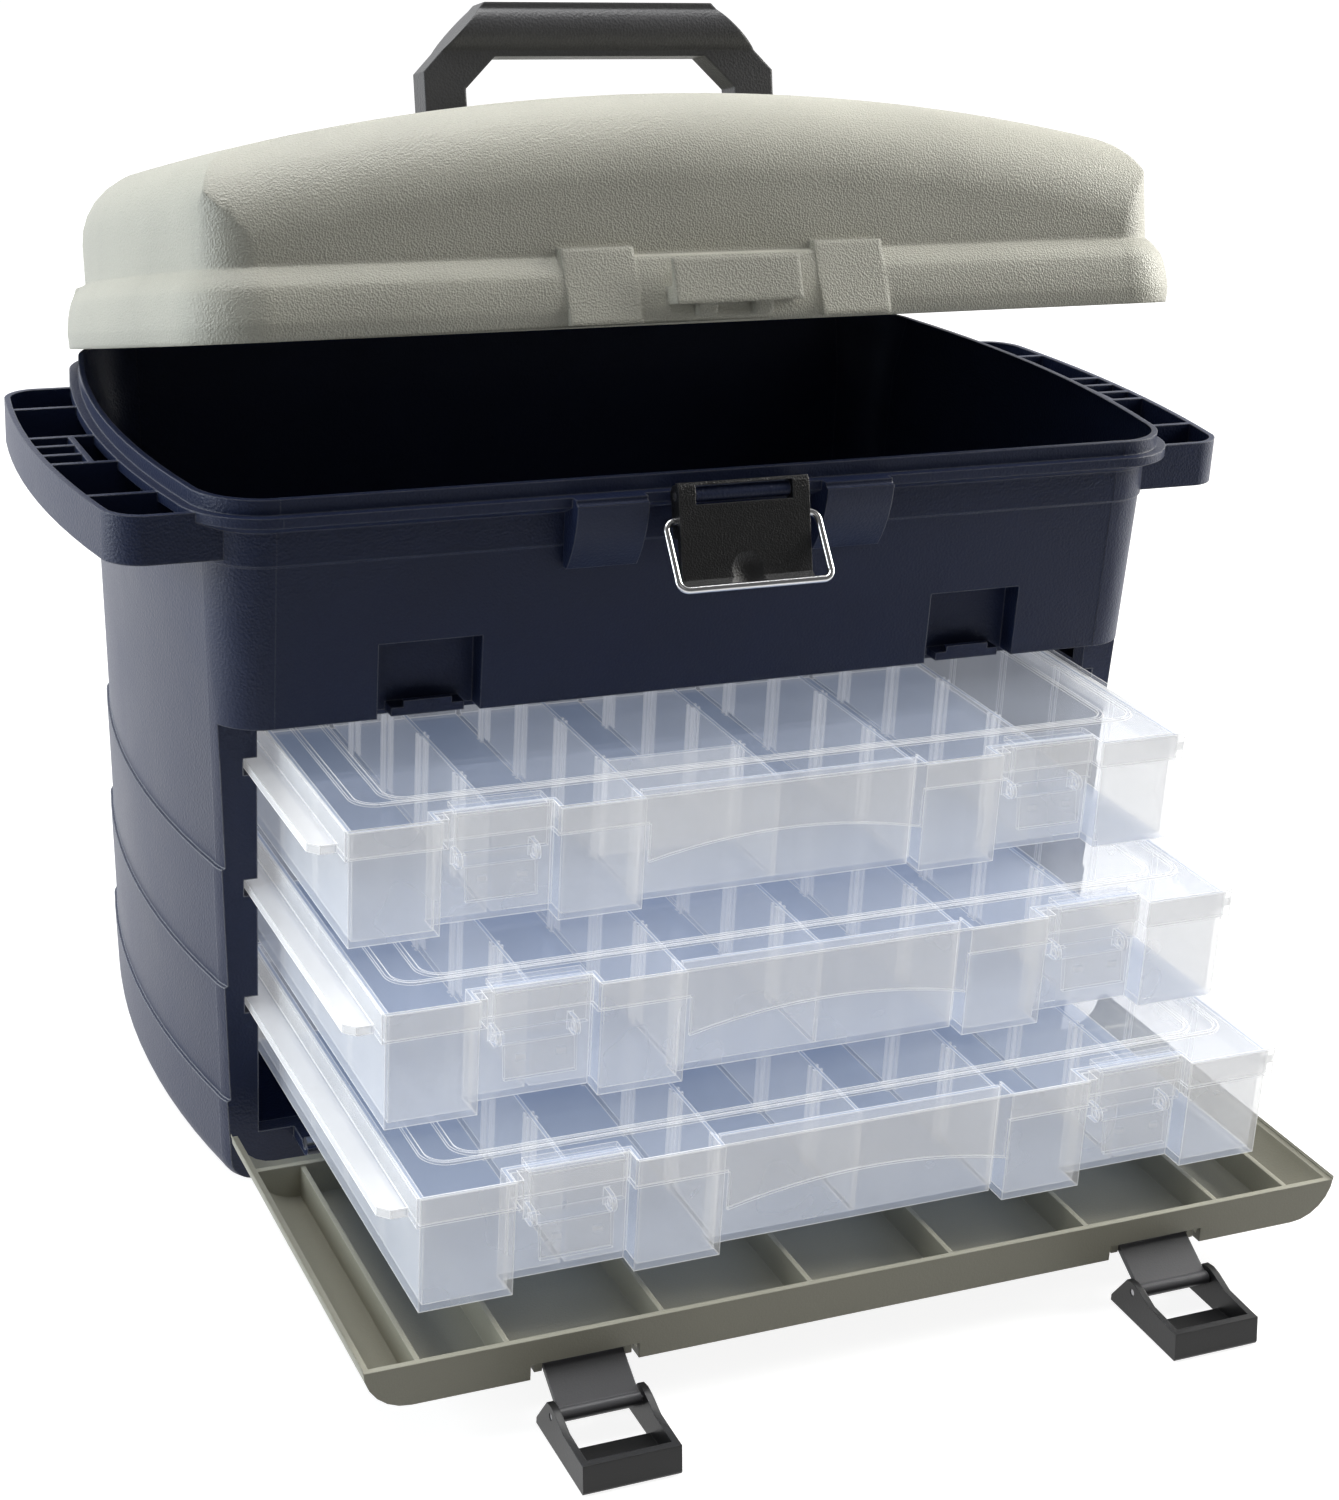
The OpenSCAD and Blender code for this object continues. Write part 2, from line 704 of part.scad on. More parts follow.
module latch_bail() {
    peg = lever_w / 2 - 4;
    bend_x = bail_hw - bail_bend;
    color([0.75, 0.75, 0.77]) translate([0, bail_axis.x, bail_axis.y]) rotate([-bail_lean, 0, 0]) {
        both_sides() {
            bar_x([0, 0], wire_r, peg, bend_x);
            translate([bend_x, 0, -bail_bend]) bail_corner(0);
            translate([bail_hw, 0, bail_bend - bail_l]) cylinder(h = bail_l - 2 * bail_bend, r = wire_r);
            translate([bend_x, 0, bail_bend - bail_l]) bail_corner(-90);
        }
        bar_x([0, -bail_l], wire_r, -bend_x, bend_x);
    }
}

// Door, drawn lying open
function door_section(inset) = let (hw = door_hw - inset, z = door_z0 + inset, r = door_round - inset)
    concat([[-hw, door_z0 + door_t + inset]], arc_pts([r - hw, z + r], r, 180, 270, 6),
        arc_pts([hw - r, z + r], r, 270, 360, 6), [[hw, door_z0 + door_t + inset]]);

module door_prism(inset, y0, y1) {
    translate([0, y1, 0]) rotate([90, 0, 0]) linear_extrude(y1 - y0) polygon(door_section(inset));
}

module link_lugs() {
    hw = link_w / 2 + 0.4;
    for (x = [clasp_x - hw - link_lug_t, clasp_x + hw])
        box([x, -door_l + door_skin - 0.5, link_axis.y - 3.5], [x + link_lug_t, link_axis.x + 4, link_axis.y + 6]);
}

module door_knuckle() {
    box([0, -door_back - 14, door_z0], [knuckle_w, 0, door_z0 + 5]);
    bar_x([0, 0], 5, 0, knuckle_w);
}

module door() {
    ribs = [30, 90, 150, door_hw - 21];
    rim = door_z0 + door_t;
    notch_hw = link_w / 2 + 5.5;
    color([0.42, 0.4, 0.35]) translate([0, door_axis.x, door_axis.y]) difference() {
        union() {
            difference() {
                door_prism(0, -door_l, -door_back);
                difference() {
                    door_prism(door_skin, -door_l + door_skin, -door_back + 1);
                    box([-far, -door_cross - door_skin, -far], [far, -door_cross, rim]);
                    both_sides()
                        for (x = ribs)
                            box([x - 1, -door_l, -far], [x + 1, -door_cross, rim - 1]);
                }
                box([-far, -13, 2], [far, 0, far]);
                for (z = step_levels)
                    box([-far, sill_z - z - 1.5, door_z0 - 1], [far, sill_z - z, door_z0 + 0.8]);
                both_sides()
                    box([clasp_x - notch_hw, -door_l - 1, door_z0 - 1],
                        [clasp_x + notch_hw, link_axis.x + 5, link_axis.y + link_plate / 2]);
            }
            both_sides() {
                link_lugs();
                translate([door_hinge_x - knuckle_w / 2, 0, 0]) door_knuckle();
            }
        }
        both_sides() {
            bar_x(link_axis, link_pin_r + pin_gap, clasp_x - notch_hw, clasp_x + notch_hw);
            bar_x([0, 0], door_pin_r + pin_gap, door_hinge_x - knuckle_w, door_hinge_x + knuckle_w);
        }
    }
}

module door_hinge_pins() {
    color([0.6, 0.6, 0.62]) both_sides()
        bar_x(door_axis, door_pin_r, door_lug_x + 0.5, door_lug_x + door_lug_step + lug_w - 0.5);
}

module link_pins() {
    hw = link_w / 2 + 0.4 + link_lug_t - 0.4;
    color([0.6, 0.6, 0.62]) both_sides()
        bar_x(link_root, link_pin_r, clasp_x - hw, clasp_x + hw);
}

module link() {
    hw = link_w / 2;
    color([0.07, 0.07, 0.075]) translate([clasp_x, link_root.x, link_root.y]) rotate([link_droop, 0, 0])
        difference() {
            union() {
                bar_x([0, 0], 2.6, -hw, hw);
                bar_x([-link_l, 0], 2.6, -hw, hw);
                box([-hw, -link_l, -link_plate / 2], [hw, 0, link_plate / 2]);
            }
            bar_x([0, 0], link_pin_r + pin_gap, -hw - 1, hw + 1);
            bar_x([-link_l, 0], link_pin_r + pin_gap, -hw - 1, hw + 1);
        }
}

module right_link() {
    link();
}

module left_link() {
    mirror([1, 0, 0]) link();
}

module clasp_pin() {
    color([0.6, 0.6, 0.62])
        bar_x(clasp_axis, link_pin_r, clasp_x - clasp_w / 2 + 0.3, clasp_x + clasp_w / 2 - 0.3);
}

module right_clasp_pin() {
    clasp_pin();
}

module left_clasp_pin() {
    mirror([1, 0, 0]) clasp_pin();
}

module clasp() {
    hw = clasp_w / 2;
    z0 = clasp_floor + 0.4;
    bar = z0 + clasp_bar_h;
    cheek = [[clasp_rear, z0], [clasp_rear, z0 + 2.5], [4, 3.6], [0, 4.2], [-4, 3.4], [-12, 0.5],
        [-clasp_front + 3, bar], [-clasp_front, bar], [-clasp_front - 1.5, z0 + 1], [-clasp_front - 1, z0]];
    window_y = -9;
    color([0.06, 0.06, 0.065]) translate([clasp_x, clasp_axis.x, clasp_axis.y]) difference() {
        union() {
            for (x = [-hw, hw - clasp_cheek])
                prism_x(cheek, x, x + clasp_cheek);
            prism_x([[-clasp_front, bar], [-clasp_front - 1.5, z0 + 1], [-clasp_front - 1, z0],
                [window_y, z0], [window_y, z0 + 2.2], [3 - clasp_front, z0 + 3], [3 - clasp_front, bar]], -hw, hw);
            box([-hw, clasp_rear - 3, z0], [hw, clasp_rear, z0 + 2.5]);
        }
        bar_x([0, 0], link_pin_r + pin_gap, -hw - 1, hw + 1);
    }
}

module right_clasp() {
    clasp();
}

module left_clasp() {
    mirror([1, 0, 0]) clasp();
}

// Trays, drawn with the front at y = 0 and the lid top at z = 0
module place_tray(level, out) {
    translate([0, tray_in_y - out, tray_z0 + level * tray_pitch + tray_h]) children();
}

base_top = -tray_t - fit;
base_front = tray_t + fit;
base_rear = tray_d - tray_t - fit;
bay_hw = notch_w / 2 + tray_t + fit;

// Plan of a tray base, with its front recesses
module base_plan(inset) {
    both_sides() {
        translate([inset, front_recess + inset]) square([apron_hw, base_rear - front_recess - 2 * inset]);
        translate([apron_hw + 1 + inset, base_front + inset])
            square([tray_latch_x - bay_hw - apron_hw - 1 - 2 * inset, base_rear - base_front - 2 * inset]);
        translate([apron_hw, latch_bay_d + inset])
            square([base_hw - apron_hw - inset, base_rear - latch_bay_d - 2 * inset]);
        translate([tray_latch_x + bay_hw + inset, base_front + inset])
            square([base_hw - tray_latch_x - bay_hw - 2 * inset, base_rear - base_front - 2 * inset]);
    }
    translate([-apron_hw, front_recess + inset])
        square([2 * apron_hw, base_rear - front_recess - 2 * inset]);
}

slot_pitch = 44;
slot_gap = tray_t + 2 * fit;
tooth = 1.2;

// Positions of the divider slots along the tray
function slot_ys() = [for (y = [50:slot_pitch:tray_d - 30]) y];

// The partitions with the teeth that hold dividers
module partitions() {
    for (i = [1:columns - 1]) {
        x = -base_hw + i * column_w;
        translate([x - tray_t / 2, latch_bay_d]) square([tray_t, base_rear - latch_bay_d - 1]);
    }
    for (i = [0:columns], y = slot_ys(), s = [-1, 1]) {
        x = -base_hw + i * column_w;
        w = tray_t / 2 + tooth;
        translate([max(x - w, -base_hw + 0.5), y + s * (slot_gap + tooth) / 2 - tooth / 2])
            square([min(x + w, base_hw - 0.5) - max(x - w, -base_hw + 0.5), tooth]);
    }
}

module latch_lugs() {
    for (x = [tray_latch_x - lug_hw, tray_latch_x + lug_hw - lug_t]) {
        box([x, trunnion_y, trunnion_z - 3.4], [x + lug_t, latch_bay_d + 1, trunnion_z + 3.4]);
        bar_x([trunnion_y, trunnion_z], 3.4, x, x + lug_t);
    }
}

module tray_base() {
    color([0.85, 0.89, 0.92, 0.5]) difference() {
        union() {
            translate([0, 0, -tray_h]) linear_extrude(tray_h + base_top) base_plan(0);
            both_sides() latch_lugs();
        }
        translate([0, 0, tray_t - tray_h]) linear_extrude(tray_h) difference() {
            base_plan(tray_t);
            partitions();
        }
        translate([0, 0, base_top - 2]) linear_extrude(5) base_plan(tray_t);
        both_sides()
            bar_x([trunnion_y, trunnion_z], trunnion_r + pin_gap, tray_latch_x - 20, tray_latch_x + 20);
    }
}

module lid_plan(inset) {
    difference() {
        translate([-tray_hw + inset, inset]) square([2 * (tray_hw - inset), tray_d - 2 * inset]);
        both_sides()
            translate([tray_latch_x - notch_w / 2 - inset, -1]) square([notch_w + 2 * inset, notch_d + 1 + inset]);
    }
}

module apron() {
    rise_r = (pow(apron_hw, 2) + pow(apron_rise, 2)) / (2 * apron_rise);
    difference() {
        box([-apron_hw, 0, -apron_drop], [apron_hw, tray_t, -1]);
        translate([0, -1, apron_rise - apron_drop - rise_r]) rotate([-90, 0, 0]) cylinder(h = 5, r = rise_r);
    }
}

module bead(inset) {
    lo = [-tray_hw + inset, 16 + inset / 4];
    hi = [tray_hw - inset, tray_d - inset];
    linear_extrude(0.8) difference() {
        rounded_rect(lo, hi, 10);
        rounded_rect(lo + [2, 2], hi - [2, 2], 8);
    }
}

module tray_lid() {
    color([0.86, 0.9, 0.93, 0.4]) {
        difference() {
            translate([0, 0, -skirt_h]) linear_extrude(skirt_h) lid_plan(0);
            translate([0, 0, -skirt_h - 1]) linear_extrude(skirt_h + 1 - tray_t) lid_plan(tray_t);
        }
        both_sides()
            translate([tray_hw - 0.5, 9, -skirt_h]) linear_extrude(rail_t)
                polygon([[0, 0], [rail_out - 3.5, 0], [rail_out + 0.5, 4], [rail_out + 0.5, tray_d - 21],
                    [rail_out - 3.5, tray_d - 9 - rail_short], [0, tray_d - 9 - rail_short]]);
        apron();
        bead(10);
        bead(22);
    }
}

module tray_latch() {
    hw = latch_w / 2;
    barrel_hw = lug_hw - lug_t - fit;
    y0 = trunnion_y - 5.5;
    color([0.84, 0.88, 0.91, 0.6]) translate([tray_latch_x, 0, 0]) {
        prism_x([[y0, trunnion_z + 4], [y0 + 2.4, trunnion_z + 4], [y0 + 2.4, fit], [trunnion_y + 4.5, fit],
            [trunnion_y + 4.5, fit + hook_t], [y0 + 1.5, fit + hook_t], [y0, fit]], -hw, hw);
        prism_x([[y0, trunnion_z + 4.5], [y0 - 1, trunnion_z - 15], [y0 + 1, trunnion_z - 15],
            [y0 + 2.4, trunnion_z - 2], [trunnion_y, trunnion_z - 2], [trunnion_y, trunnion_z + 2],
            [y0 + 2.4, trunnion_z + 4.5]], -barrel_hw, barrel_hw);
        bar_x([trunnion_y, trunnion_z], 2.6, -barrel_hw, barrel_hw);
        bar_x([trunnion_y, trunnion_z], trunnion_r, -lug_hw - 0.6, lug_hw + 0.6);
    }
}

module top_tray_base() {
    place_tray(2, top_out) tray_base();
}

module top_tray_lid() {
    place_tray(2, top_out) tray_lid();
}

module top_tray_right_latch() {
    place_tray(2, top_out) tray_latch();
}

module top_tray_left_latch() {
    mirror([1, 0, 0]) place_tray(2, top_out) tray_latch();
}

module middle_tray_base() {
    place_tray(1, middle_out) tray_base();
}

module middle_tray_lid() {
    place_tray(1, middle_out) tray_lid();
}

module middle_tray_right_latch() {
    place_tray(1, middle_out) tray_latch();
}

module middle_tray_left_latch() {
    mirror([1, 0, 0]) place_tray(1, middle_out) tray_latch();
}

module bottom_tray_base() {
    place_tray(0, bottom_out) tray_base();
}

module bottom_tray_lid() {
    place_tray(0, bottom_out) tray_lid();
}

module bottom_tray_right_latch() {
    place_tray(0, bottom_out) tray_latch();
}

module bottom_tray_left_latch() {
    mirror([1, 0, 0]) place_tray(0, bottom_out) tray_latch();
}

// The removable divider that stands in a slot of the top tray
module tray_divider() {
    x0 = -column_w + tray_t / 2 + fit;
    y = slot_ys()[0] - tray_t / 2;
    color([0.84, 0.88, 0.91, 0.6]) place_tray(2, top_out)
        box([x0, y, tray_t - tray_h + fit], [-tray_t / 2 - fit, y + tray_t, base_top - 3]);
}

body();
lid();
lid_hinge_pins();
handle();
handle_pins();
latch_lever();
lever_pin();
latch_bail();
door();
door_hinge_pins();
link_pins();
left_link();
right_link();
left_clasp();
right_clasp();
left_clasp_pin();
right_clasp_pin();
top_tray_base();
top_tray_lid();
top_tray_left_latch();
top_tray_right_latch();
middle_tray_base();
middle_tray_lid();
middle_tray_left_latch();
middle_tray_right_latch();
bottom_tray_base();
bottom_tray_lid();
bottom_tray_left_latch();
bottom_tray_right_latch();
tray_divider();
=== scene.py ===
"""Looks of the tackle box: finishes, fine fittings, stage and camera."""

import json
import math

import bmesh
import bpy
from mathutils import Matrix, Vector

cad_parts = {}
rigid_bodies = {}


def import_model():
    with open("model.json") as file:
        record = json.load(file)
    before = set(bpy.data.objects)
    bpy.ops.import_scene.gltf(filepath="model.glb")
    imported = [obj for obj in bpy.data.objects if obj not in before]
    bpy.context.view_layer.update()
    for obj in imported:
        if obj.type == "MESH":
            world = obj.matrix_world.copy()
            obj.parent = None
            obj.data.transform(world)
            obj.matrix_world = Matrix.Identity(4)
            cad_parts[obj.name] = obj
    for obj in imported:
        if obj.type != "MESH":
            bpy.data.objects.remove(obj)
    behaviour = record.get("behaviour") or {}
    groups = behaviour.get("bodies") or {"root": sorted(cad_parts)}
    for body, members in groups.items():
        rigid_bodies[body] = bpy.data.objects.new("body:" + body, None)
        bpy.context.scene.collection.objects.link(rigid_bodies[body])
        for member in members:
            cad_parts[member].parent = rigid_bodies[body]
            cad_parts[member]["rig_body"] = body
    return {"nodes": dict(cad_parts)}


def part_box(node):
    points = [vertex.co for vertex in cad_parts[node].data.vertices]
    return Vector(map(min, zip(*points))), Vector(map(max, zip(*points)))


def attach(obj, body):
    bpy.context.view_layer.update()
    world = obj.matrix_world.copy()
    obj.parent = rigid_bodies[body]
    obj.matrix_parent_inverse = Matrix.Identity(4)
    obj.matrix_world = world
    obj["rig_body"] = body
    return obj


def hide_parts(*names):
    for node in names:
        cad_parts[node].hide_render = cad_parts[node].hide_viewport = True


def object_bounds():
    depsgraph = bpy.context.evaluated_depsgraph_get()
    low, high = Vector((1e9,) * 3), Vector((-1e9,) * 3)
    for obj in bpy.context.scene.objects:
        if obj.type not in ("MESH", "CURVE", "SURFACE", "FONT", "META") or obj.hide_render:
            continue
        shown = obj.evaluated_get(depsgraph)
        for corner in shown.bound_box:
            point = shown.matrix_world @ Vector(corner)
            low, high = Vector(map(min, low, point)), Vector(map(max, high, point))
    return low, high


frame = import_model()
CAD_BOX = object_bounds()

bl_info = {
    "name": "Tackle Box",
    "version": (1, 0, 0),
    "blender": (4, 5, 0),
    "location": "3D View > Sidebar > Tackle Box",
    "description": "Finishes and fine fittings of a tackle box with three clear trays",
    "category": "Object",
}

MM = 0.001
TRAYS = ("top", "middle", "bottom")
SIDES = ("left", "right")

# The lid's band: how far the lid stands open, where the latch pads end, and how the band is rolled in.
# The cuts are heights over the band's foot, and the core is half of a rectangle that the roll runs round.
LID_OPEN = math.radians(13.4)
BAND_HEIGHT = 26 * MM
PAD_EDGE = 68.6 * MM
ROLL_TOP = 3.6 * MM
ROLL_FOOT = 1.4 * MM
ROLL_HEIGHT = 9 * MM
ROLL_LEDGE = 1.25 * MM
ROLL_CUTS = [height * MM for height in (3, 6, 9, 17, 19.3, 21.1, 22.6, 24, 25.1)]
ROLL_CORE = Vector((184 * MM, 99.5 * MM))
SLACK = 0.1 * MM
FACING = 0.5

# The clear trays: distances from the middle at which the inner walls end and the rails begin, tones (level
# faces get painted shade and a dimmer painted glow), the angle in degrees below which faces shade as one, and
# widths of the marked edges
INNER_END = (170 * MM, 174 * MM)
RAIL_START = (179.5 * MM, 181.5 * MM)
MILK = (0.95, 0.95, 0.955, 1.0)
TRAY_FLOOR_SHADE = (0.37, 0.44, 0.58, 1.0)
TRAY_FLOOR_SHADED_GLOW = (0.22, 0.31, 0.5, 1.0)
TRAY_ANGLE = 30.0
TRAY_STRIP = 0.4 * MM
LATCH_STRIP = 0.3 * MM

# The small catches on the tray latches
PIP_SIZE = (3.6 * MM, 1.6 * MM, 2.6 * MM)
PIP_ASIDE = 8 * MM
PIP_SUNK = 0.6 * MM
PIP_UP = 9 * MM

# The bail
WIRE_RADIUS = 1.5 * MM
BEND_RADIUS = 4 * MM
BAIL_LEAN = math.radians(39.0)
BAIL_REACH = 28.7 * MM
BAIL_PEG = 24.2 * MM

# Shaping and edge colour: the angle in degrees below which faces shade as one, the distance at which vertices
# merge, how many strips wide a patch has to be for a strip of its own, the share of the paler edge colour
# (scuffing and a painted highlight) and its fading
SMOOTH_ANGLE = 34.0
MERGE = 0.004 * MM
NARROW = 2.1
SCUFF_AND_HIGHLIGHT = 0.45
SCUFF_AND_HIGHLIGHT_FADE = 6 * MM

# The stage
FLOOR_HALF = 9.0
FLOOR_GAP = 0.2 * MM
FLOOR_LEVEL = 0.88
FLOOR_NEAR = 0.7
FLOOR_FAR = 2.0
COOL = (0.87, 0.945, 1.0)
WARM = (1.0, 0.985, 0.94)
CAMERA_PLACE = Vector((-449.61, -1057.15, 580.24)) * MM
CAMERA_RIGHT = Vector((0.91462, -0.40101, 0.05167))
CAMERA_UP = Vector((0.10279, 0.3542, 0.9295))
CAMERA_BACK = Vector((-0.39104, -0.84483, 0.36517))
CAMERA_LENS = 64.80


# Node trees

class Wire:
    """An output socket of a tree. Sums, differences and products of wires add Math nodes."""

    def __init__(self, tree, socket):
        self.tree = tree
        self.socket = socket

    def maths(self, operation, first, second):
        return self.tree.node("ShaderNodeMath", {"operation": operation}, {0: first, 1: second})

    def __add__(self, other):
        return self.maths("ADD", self, other)

    def __sub__(self, other):
        return self.maths("SUBTRACT", self, other)

    def __rsub__(self, other):
        return self.maths("SUBTRACT", other, self)

    def __mul__(self, other):
        return self.maths("MULTIPLY", self, other)

    __radd__ = __add__
    __rmul__ = __mul__


class Tree:
    """A node tree that is filled one call at a time."""

    def __init__(self, tree):
        self.tree = tree
        tree.nodes.clear()

    def node(self, kind, settings=None, inputs=None, out=0):
        made = self.tree.nodes.new(kind)
        for key, value in (settings or {}).items():
            setattr(made, key, value)
        for key, value in (inputs or {}).items():
            if isinstance(value, Wire):
                self.tree.links.new(value.socket, made.inputs[key])
            else:
                made.inputs[key].default_value = value
        return Wire(self, made.outputs[out]) if out is not None else None

    def ramp(self, value, low, high):
        """0 below low, 1 above high."""
        settings = {"interpolation_type": "SMOOTHSTEP", "clamp": True}
        return self.node("ShaderNodeMapRange", settings, {"Value": value, "From Min": low, "From Max": high})

    def axis(self, vector, name):
        """One coordinate of a vector."""
        return self.node("ShaderNodeSeparateXYZ", None, {0: vector}, name)

    def size(self, value):
        """The value without its sign."""
        return self.node("ShaderNodeMath", {"operation": "ABSOLUTE"}, {0: value})

    def shown(self, gloss):
        """1 for what the eye or clear plastic sees, gloss for what shiny faces mirror, 0 for lamp light."""
        path = self.tree.nodes.new("ShaderNodeLightPath").outputs
        rays = ("Is Camera Ray", "Is Transmission Ray", "Is Glossy Ray")
        eye, clear, mirror = (Wire(self, path[ray]) for ray in rays)
        seen = eye + clear + mirror * gloss
        return self.node("ShaderNodeMath", {"operation": "MINIMUM"}, {0: seen, 1: 1.0})


class Finish(Tree):
    """A material in the making."""

    def __init__(self, name):
        self.material = bpy.data.materials.new(name)
        self.material.use_nodes = True
        super().__init__(self.material.node_tree)
        self.place = self.node("ShaderNodeTexCoord", out="Object")

    def noise(self, size, detail=2.0, place=None):
        """Soft noise whose features are about size across, in metres."""
        inputs = {"Vector": place or self.place, "Scale": 1.0 / size, "Detail": detail}
        return self.node("ShaderNodeTexNoise", None, inputs, "Fac")

    def stretched(self, scale):
        """The place, scaled so that noise is drawn out along an axis."""
        return self.node("ShaderNodeMapping", None, {"Vector": self.place, "Scale": scale})

    def blend(self, factor, low, high):
        """A colour between two others."""
        settings = {"data_type": "RGBA", "clamp_factor": True}
        return self.node("ShaderNodeMix", settings, {0: factor, 6: low, 7: high}, 2)

    def soft_edges(self, radius):
        """A normal that rounds sharp edges off."""
        return self.node("ShaderNodeBevel", {"samples": 4}, {"Radius": radius}, "Normal")

    def edge_mask(self, rounded):
        """1 along sharp edges, 0 away from them."""
        facing = self.node("ShaderNodeNewGeometry", out="True Normal")
        near = self.node("ShaderNodeVectorMath", {"operation": "DOT_PRODUCT"},
                         {0: facing, 1: rounded}, "Value")
        return self.ramp(1 - near, 0.01, 0.16)

    def bump(self, height, depth, strength=1.0, normal=None):
        inputs = {"Strength": strength, "Distance": depth, "Height": height}
        if normal:
            inputs["Normal"] = normal
        return self.node("ShaderNodeBump", None, inputs, "Normal")

    def surface(self, inputs):
        """Ends the tree in a plastic or metal surface."""
        shader = self.node("ShaderNodeBsdfPrincipled", None, inputs, "BSDF")
        self.node("ShaderNodeOutputMaterial", None, {"Surface": shader}, None)
        return self.material


class Growth(Tree):
    """A geometry node group with named inputs."""

    def __init__(self, name, inputs):
        super().__init__(bpy.data.node_groups.new(name, "GeometryNodeTree"))
        for label, kind in inputs.items():
            self.tree.interface.new_socket(label, in_out="INPUT", socket_type="NodeSocket" + kind)
        self.tree.interface.new_socket("Geometry", in_out="OUTPUT", socket_type="NodeSocketGeometry")
        self.given = self.tree.nodes.new("NodeGroupInput")

    def take(self, label):
        return Wire(self, self.given.outputs[label])

    def end(self, shape):
        """Makes the instances real, gives the shape its material and ends the group."""
        real = self.node("GeometryNodeRealizeInstances", None, {"Geometry": shape}, "Geometry")
        done = self.node("GeometryNodeSetMaterial", None,
                         {"Geometry": real, "Material": self.take("Material")}, "Geometry")
        self.node("NodeGroupOutput", None, {"Geometry": done}, None)

    def grow(self, name, points, edges, values):
        """A plain mesh grown from points and edges."""
        mesh = bpy.data.meshes.new(name + "_seed")
        mesh.from_pydata(points, edges, [])
        piece = bpy.data.objects.new(name, mesh)
        bpy.context.scene.collection.objects.link(piece)
        modifier = piece.modifiers.new("Growth", "NODES")
        modifier.node_group = self.tree
        for item in self.tree.interface.items_tree:
            if item.in_out == "INPUT" and item.name in values:
                modifier[item.identifier] = values[item.name]
        depsgraph = bpy.context.evaluated_depsgraph_get()
        grown = bpy.data.meshes.new_from_object(piece.evaluated_get(depsgraph))
        piece.modifiers.remove(modifier)
        piece.data = grown
        bpy.data.meshes.remove(mesh)
        return piece


# Finishes

def lighter(colour, share):
    """The colour times a share, opaque."""
    return [min(1.0, c * share) for c in colour[:3]] + [1.0]


def moulded(name, colour, spread, grain, depth, roughness, edge, scuff_and_highlight, gloss=0.45, paler_edges_below=None):
    """Moulded plastic with a pebbled grain, a little drift of tone and soft edges in a paler colour, which is
    both scuffing and a painted highlight.

    Where a height is given, the edges below it get more of the paler colour and those above it less."""
    finish = Finish(name)
    drift = finish.noise(60 * MM, 3.0)
    cells = {"Vector": finish.place, "Scale": 1.0 / grain}
    pebble = finish.node("ShaderNodeTexVoronoi", None, cells, "Distance")
    fleck = finish.noise(0.45 * grain, 1.0)
    rounded = finish.soft_edges(edge)
    # Paler colour along sharp edges: partly scuffing, partly a painted highlight where the edges catch light
    scuff_and_highlight_share = finish.edge_mask(rounded) * SCUFF_AND_HIGHLIGHT
    if paler_edges_below:
        above = finish.ramp(finish.axis(finish.place, "Z"), paler_edges_below - SCUFF_AND_HIGHLIGHT_FADE, paler_edges_below)
        scuff_and_highlight_share = scuff_and_highlight_share * (2 - 1.4 * above)
    mottle = drift * 0.4 + fleck * 0.6
    tone = finish.blend(mottle, lighter(colour, 1.0 - spread), lighter(colour, 1.0 + spread))
    return finish.surface({
        "Base Color": finish.blend(scuff_and_highlight_share, tone, scuff_and_highlight),
        "Roughness": roughness + (drift - 0.5) * 0.12 + (fleck - 0.5) * 0.1,
        "Specular IOR Level": gloss,
        "Normal": finish.bump(pebble * 0.75 + fleck * 0.25, depth, 1.0, rounded),
    })


def clear_plastic(name, tint, body, glow, floor, rim):
    """Frosted clear plastic: hazy walls with faint flow marks, milky edges and rails, and a painted glow that
    stands in for light passing through. Level faces are painted darker and bluer, with a dimmer glow, as
    painted shade.

    A wall holds back the share body of the light, a level face floor more and an edge rim more. Walls
    inside the tray are clearer."""
    finish = Finish(name)
    cloud = finish.noise(45 * MM, 2.0)
    flow = finish.noise(4 * MM, 2.0, finish.stretched((1.0, 0.12, 0.5)))
    edge = finish.node("ShaderNodeAttribute", {"attribute_name": "edge"}, None, "Fac")
    aside = finish.size(finish.axis(finish.place, "X"))
    rail = finish.ramp(aside, *RAIL_START)
    facing = finish.node("ShaderNodeNewGeometry", out="Normal")
    level = finish.size(finish.axis(facing, "Z")) * (1 - edge) * (1 - rail)
    across = finish.size(finish.axis(facing, "X")) * (1 - finish.ramp(aside, *INNER_END))
    walls = (body + level * floor + edge * rim) * (1 - across * 0.5)
    # Painted shade: level faces are darker and bluer, and their painted glow dimmer and bluer
    tone = finish.blend(level * 0.8, tint, TRAY_FLOOR_SHADE)
    milk = finish.blend(cloud * 0.15 + edge * 0.75 + rail * 0.4, tone, MILK)
    return finish.surface({
        "Base Color": milk,
        "Roughness": 0.24 + cloud * 0.14,
        "Alpha": walls + (cloud - 0.5) * 0.08 + rail * 0.36,
        "IOR": 1.45,
        # Painted glow: emission that stands in for light passing through the plastic
        "Emission Color": finish.blend(level * 0.8, milk, TRAY_FLOOR_SHADED_GLOW),
        "Emission Strength": glow,
        "Normal": finish.bump(flow, 0.08 * MM, 0.35),
    })


def plated(name, tone, roughness, streak):
    """Bright or plain metal with fine drawing marks along its length."""
    finish = Finish(name)
    marks = finish.noise(0.6 * MM, 3.0, finish.stretched(streak))
    stain = finish.noise(9 * MM, 2.0)
    return finish.surface({
        "Base Color": finish.blend(stain * 0.35 + marks * 0.3, tone, lighter(tone, 0.72)),
        "Metallic": 1.0,
        "Roughness": roughness + marks * 0.12,
        "Normal": finish.bump(marks, 0.02 * MM, 0.2),
    })


# Pieces

